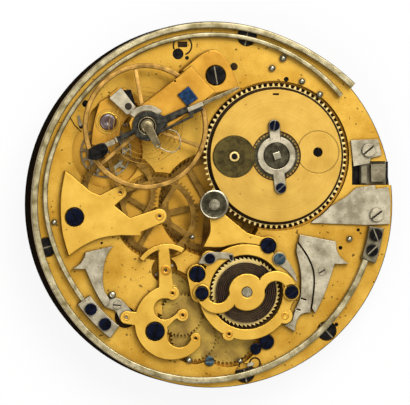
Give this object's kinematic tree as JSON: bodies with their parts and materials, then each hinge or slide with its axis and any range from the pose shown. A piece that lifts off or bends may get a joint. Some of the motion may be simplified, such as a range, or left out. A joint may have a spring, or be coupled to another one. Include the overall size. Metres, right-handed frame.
{
  "type": "repeating pocket watch movement",
  "caption": "Round key-wound pocket watch movement with gilt bridges, large balance, striking train, steel hammers and wire gongs.",
  "frame": {"origin": "centre of the rim, on the dial edge that the movement rests on", "axes": "+Z from the dial side to the back that the picture shows, +X right and +Y up in the picture"},
  "size_m": [0.0458, 0.0458, 0.01],
  "materials": {
    "frosted_gilt": "frosted gilding",
    "gilt": "fine gilding",
    "wheel_brass": "gilt wheel, circular grain",
    "rose_brass": "rose gilt, polished",
    "polished_steel": "fine straight grain",
    "gong_steel": "drawn wire",
    "blued_steel": "heat blued",
    "ruby": "polished jewel"
  },
  "bodies": {
    "frame": {"main_plate": "frosted_gilt", "going_bridge": "gilt", "centre_bridge": "gilt", "pallet_cock": "gilt", "pallet_jewel": "ruby", "balance_cock": "gilt", "endstone_cap": "polished_steel", "stud_plate": "polished_steel", "strike_bridge": "gilt", "spring_ring": "gilt", "spring_bridge": "gilt", "outer_gong": "gong_steel", "inner_gong": "gong_steel", "slide_plate_upper": "polished_steel", "slide_plate_lower": "polished_steel", "large_screws": "blued_steel", "small_screws": "blued_steel", "steel_screws": "polished_steel", "case_screws": "blued_steel", "plate_pins": "polished_steel", "click_spring": "polished_steel", "hammer_spring": "polished_steel"},
    "barrel_set": {"barrel_drum": "gilt", "barrel_lid": "gilt", "mainspring": "blued_steel", "barrel_collar": "polished_steel", "collar_screws": "blued_steel", "stop_disc": "blued_steel"},
    "barrel_arbor_set": {"barrel_arbor": "polished_steel", "ratchet_wheel": "polished_steel"},
    "centre_set": {"centre_wheel": "wheel_brass", "centre_arbor": "polished_steel", "cannon_pinion": "polished_steel"},
    "third_set": {"third_wheel": "wheel_brass", "third_pinion": "polished_steel"},
    "fourth_set": {"fourth_wheel": "wheel_brass", "fourth_pinion": "polished_steel"},
    "escape_set": {"escape_wheel": "polished_steel"},
    "lever_set": {"pallet_lever": "polished_steel"},
    "balance_set": {"balance_wheel": "rose_brass", "balance_staff": "polished_steel", "hairspring": "blued_steel"},
    "regulator_set": {"regulator": "polished_steel", "compensation_curb": "blued_steel"},
    "great_set": {"great_wheel": "wheel_brass"},
    "repeat_arbor_set": {"strike_arbor": "polished_steel", "strike_ratchet": "gilt", "repeat_spring": "blued_steel"},
    "second_set": {"strike_second": "wheel_brass"},
    "rear_set": {"strike_rear": "wheel_brass"},
    "upper_set": {"strike_upper": "wheel_brass"},
    "last_set": {"strike_last": "wheel_brass"},
    "fly_set": {"fly": "polished_steel"},
    "left_hammer_set": {"left_hammer": "polished_steel"},
    "right_hammer_set": {"right_hammer": "polished_steel"},
    "slide_set": {"repeat_slide": "polished_steel"},
    "click_set": {"click": "polished_steel"},
    "minute_set": {"minute_wheel": "wheel_brass"},
    "hour_set": {"hour_wheel": "wheel_brass"},
    "snail_set": {"hour_snail": "polished_steel"}
  },
  "joints": [
    {"name": "fourth_wheel_turn", "type": "hinge", "parent": "frame", "child": "fourth_set", "pos_m": [-0.01172, 0.00153, 0.006], "axis": [0, 0, 1], "range_deg": [0, 691200]},
    {"name": "third_wheel_turn", "type": "hinge", "parent": "frame", "child": "third_set", "pos_m": [-0.0068, -0.00144, 0.006], "axis": [0, 0, 1], "range_deg": [-92252.16, 0]},
    {"name": "centre_wheel_turn", "type": "hinge", "parent": "frame", "child": "centre_set", "pos_m": [0, 0, 0.006], "axis": [0, 0, 1], "range_deg": [0, 11531.52]},
    {"name": "barrel_turn", "type": "hinge", "parent": "frame", "child": "barrel_set", "pos_m": [0.008, 0.0061, 0.006], "axis": [0, 0, 1], "range_deg": [-1441.44, 0]},
    {"name": "escape_wheel_turn", "type": "hinge", "parent": "frame", "child": "escape_set", "pos_m": [-0.01322, 0.00655, 0.006], "axis": [0, 0, 1], "range_deg": [-6918912, 0]},
    {"name": "minute_wheel_turn", "type": "hinge", "parent": "frame", "child": "minute_set", "pos_m": [-0.00124, -0.00464, 0.006], "axis": [0, 0, 1], "range_deg": [-3843.84, 0]},
    {"name": "hour_wheel_turn", "type": "hinge", "parent": "frame", "child": "hour_set", "pos_m": [0, 0, 0.006], "axis": [0, 0, 1], "range_deg": [0, 960.96]},
    {"name": "strike_last_turn", "type": "hinge", "parent": "frame", "child": "last_set", "pos_m": [-0.00515, -0.01106, 0.006], "axis": [0, 0, 1], "range_deg": [0, 607500]},
    {"name": "great_wheel_turn", "type": "hinge", "parent": "frame", "child": "great_set", "pos_m": [0.00415, -0.01095, 0.006], "axis": [0, 0, 1], "range_deg": [0, 300.3]},
    {"name": "strike_second_turn", "type": "hinge", "parent": "frame", "child": "second_set", "pos_m": [0.00197, -0.01619, 0.006], "axis": [0, 0, 1], "range_deg": [-2252.25, 0]},
    {"name": "strike_rear_turn", "type": "hinge", "parent": "frame", "child": "rear_set", "pos_m": [-0.00224, -0.01669, 0.006], "axis": [0, 0, 1], "range_deg": [0, 16891.87]},
    {"name": "strike_upper_turn", "type": "hinge", "parent": "frame", "child": "upper_set", "pos_m": [-0.00388, -0.01381, 0.006], "axis": [0, 0, 1], "range_deg": [-101351.25, 0]},
    {"name": "fly_turn", "type": "hinge", "parent": "frame", "child": "fly_set", "pos_m": [-0.00603, -0.00819, 0.006], "axis": [0, 0, 1], "range_deg": [-3648645, 0]},
    {"name": "barrel_winding", "type": "hinge", "parent": "frame", "child": "barrel_arbor_set", "pos_m": [0.008, 0.0061, 0.006], "axis": [0, 0, 1], "range_deg": [0, 1440]},
    {"name": "lever_swing", "type": "hinge", "parent": "frame", "child": "lever_set", "pos_m": [-0.01322, 0.01029, 0.006], "axis": [0, 0, 1], "range_deg": [-5, 5]},
    {"name": "balance_swing", "type": "hinge", "parent": "frame", "child": "balance_set", "pos_m": [-0.00872, 0.00972, 0.006], "axis": [0, 0, 1], "range_deg": [-150, 150], "stiffness_Nm_per_rad": 0.0000022, "deforming": ["hairspring"]},
    {"name": "regulator_turn", "type": "hinge", "parent": "frame", "child": "regulator_set", "pos_m": [-0.00872, 0.00972, 0.006], "axis": [0, 0, 1], "range_deg": [-12, 12]},
    {"name": "repeat_winding", "type": "hinge", "parent": "frame", "child": "repeat_arbor_set", "pos_m": [0.00415, -0.01095, 0.006], "axis": [0, 0, 1], "range_deg": [0, 300], "deforming": ["repeat_spring"]},
    {"name": "left_hammer_swing", "type": "hinge", "parent": "frame", "child": "left_hammer_set", "pos_m": [-0.01096, -0.01406, 0.006], "axis": [0, 0, 1], "range_deg": [0, 3.4], "stiffness_Nm_per_rad": 0.00005, "springref_deg": -5.73},
    {"name": "right_hammer_swing", "type": "hinge", "parent": "frame", "child": "right_hammer_set", "pos_m": [0.013, -0.0125, 0.006], "axis": [0, 0, 1], "range_deg": [-12, 0], "stiffness_Nm_per_rad": 0.00008, "springref_deg": 5.73, "deforming": ["hammer_spring"]},
    {"name": "slide_push", "type": "slide", "parent": "frame", "child": "slide_set", "axis": [-1, 0, 0], "range_m": [0, 0.001], "stiffness_N_per_m": 20, "springref_m": -0.0005},
    {"name": "click_lift", "type": "hinge", "parent": "frame", "child": "click_set", "pos_m": [-0.00055, -0.00675, 0.006], "axis": [0, 0, 1], "range_deg": [0, 10], "stiffness_Nm_per_rad": 0.0000006, "springref_deg": -5.73},
    {"name": "hour_snail_turn", "type": "hinge", "parent": "frame", "child": "snail_set", "pos_m": [-0.00823, 0.00475, 0.006], "axis": [0, 0, 1], "continuous": true}
  ],
  "couplings": [
    {"joint": "third_wheel_turn", "follows": "fourth_wheel_turn", "ratio": -0.13333},
    {"joint": "centre_wheel_turn", "follows": "fourth_wheel_turn", "ratio": 0.016667},
    {"joint": "barrel_turn", "follows": "fourth_wheel_turn", "ratio": -0.0020833},
    {"joint": "escape_wheel_turn", "follows": "fourth_wheel_turn", "ratio": -10},
    {"joint": "minute_wheel_turn", "follows": "fourth_wheel_turn", "ratio": -0.0055556},
    {"joint": "hour_wheel_turn", "follows": "fourth_wheel_turn", "ratio": 0.0013889},
    {"joint": "great_wheel_turn", "follows": "strike_last_turn", "ratio": 0.00049383},
    {"joint": "strike_second_turn", "follows": "strike_last_turn", "ratio": -0.0037037},
    {"joint": "strike_rear_turn", "follows": "strike_last_turn", "ratio": 0.027778},
    {"joint": "strike_upper_turn", "follows": "strike_last_turn", "ratio": -0.16667},
    {"joint": "fly_turn", "follows": "strike_last_turn", "ratio": -6}
  ]
}
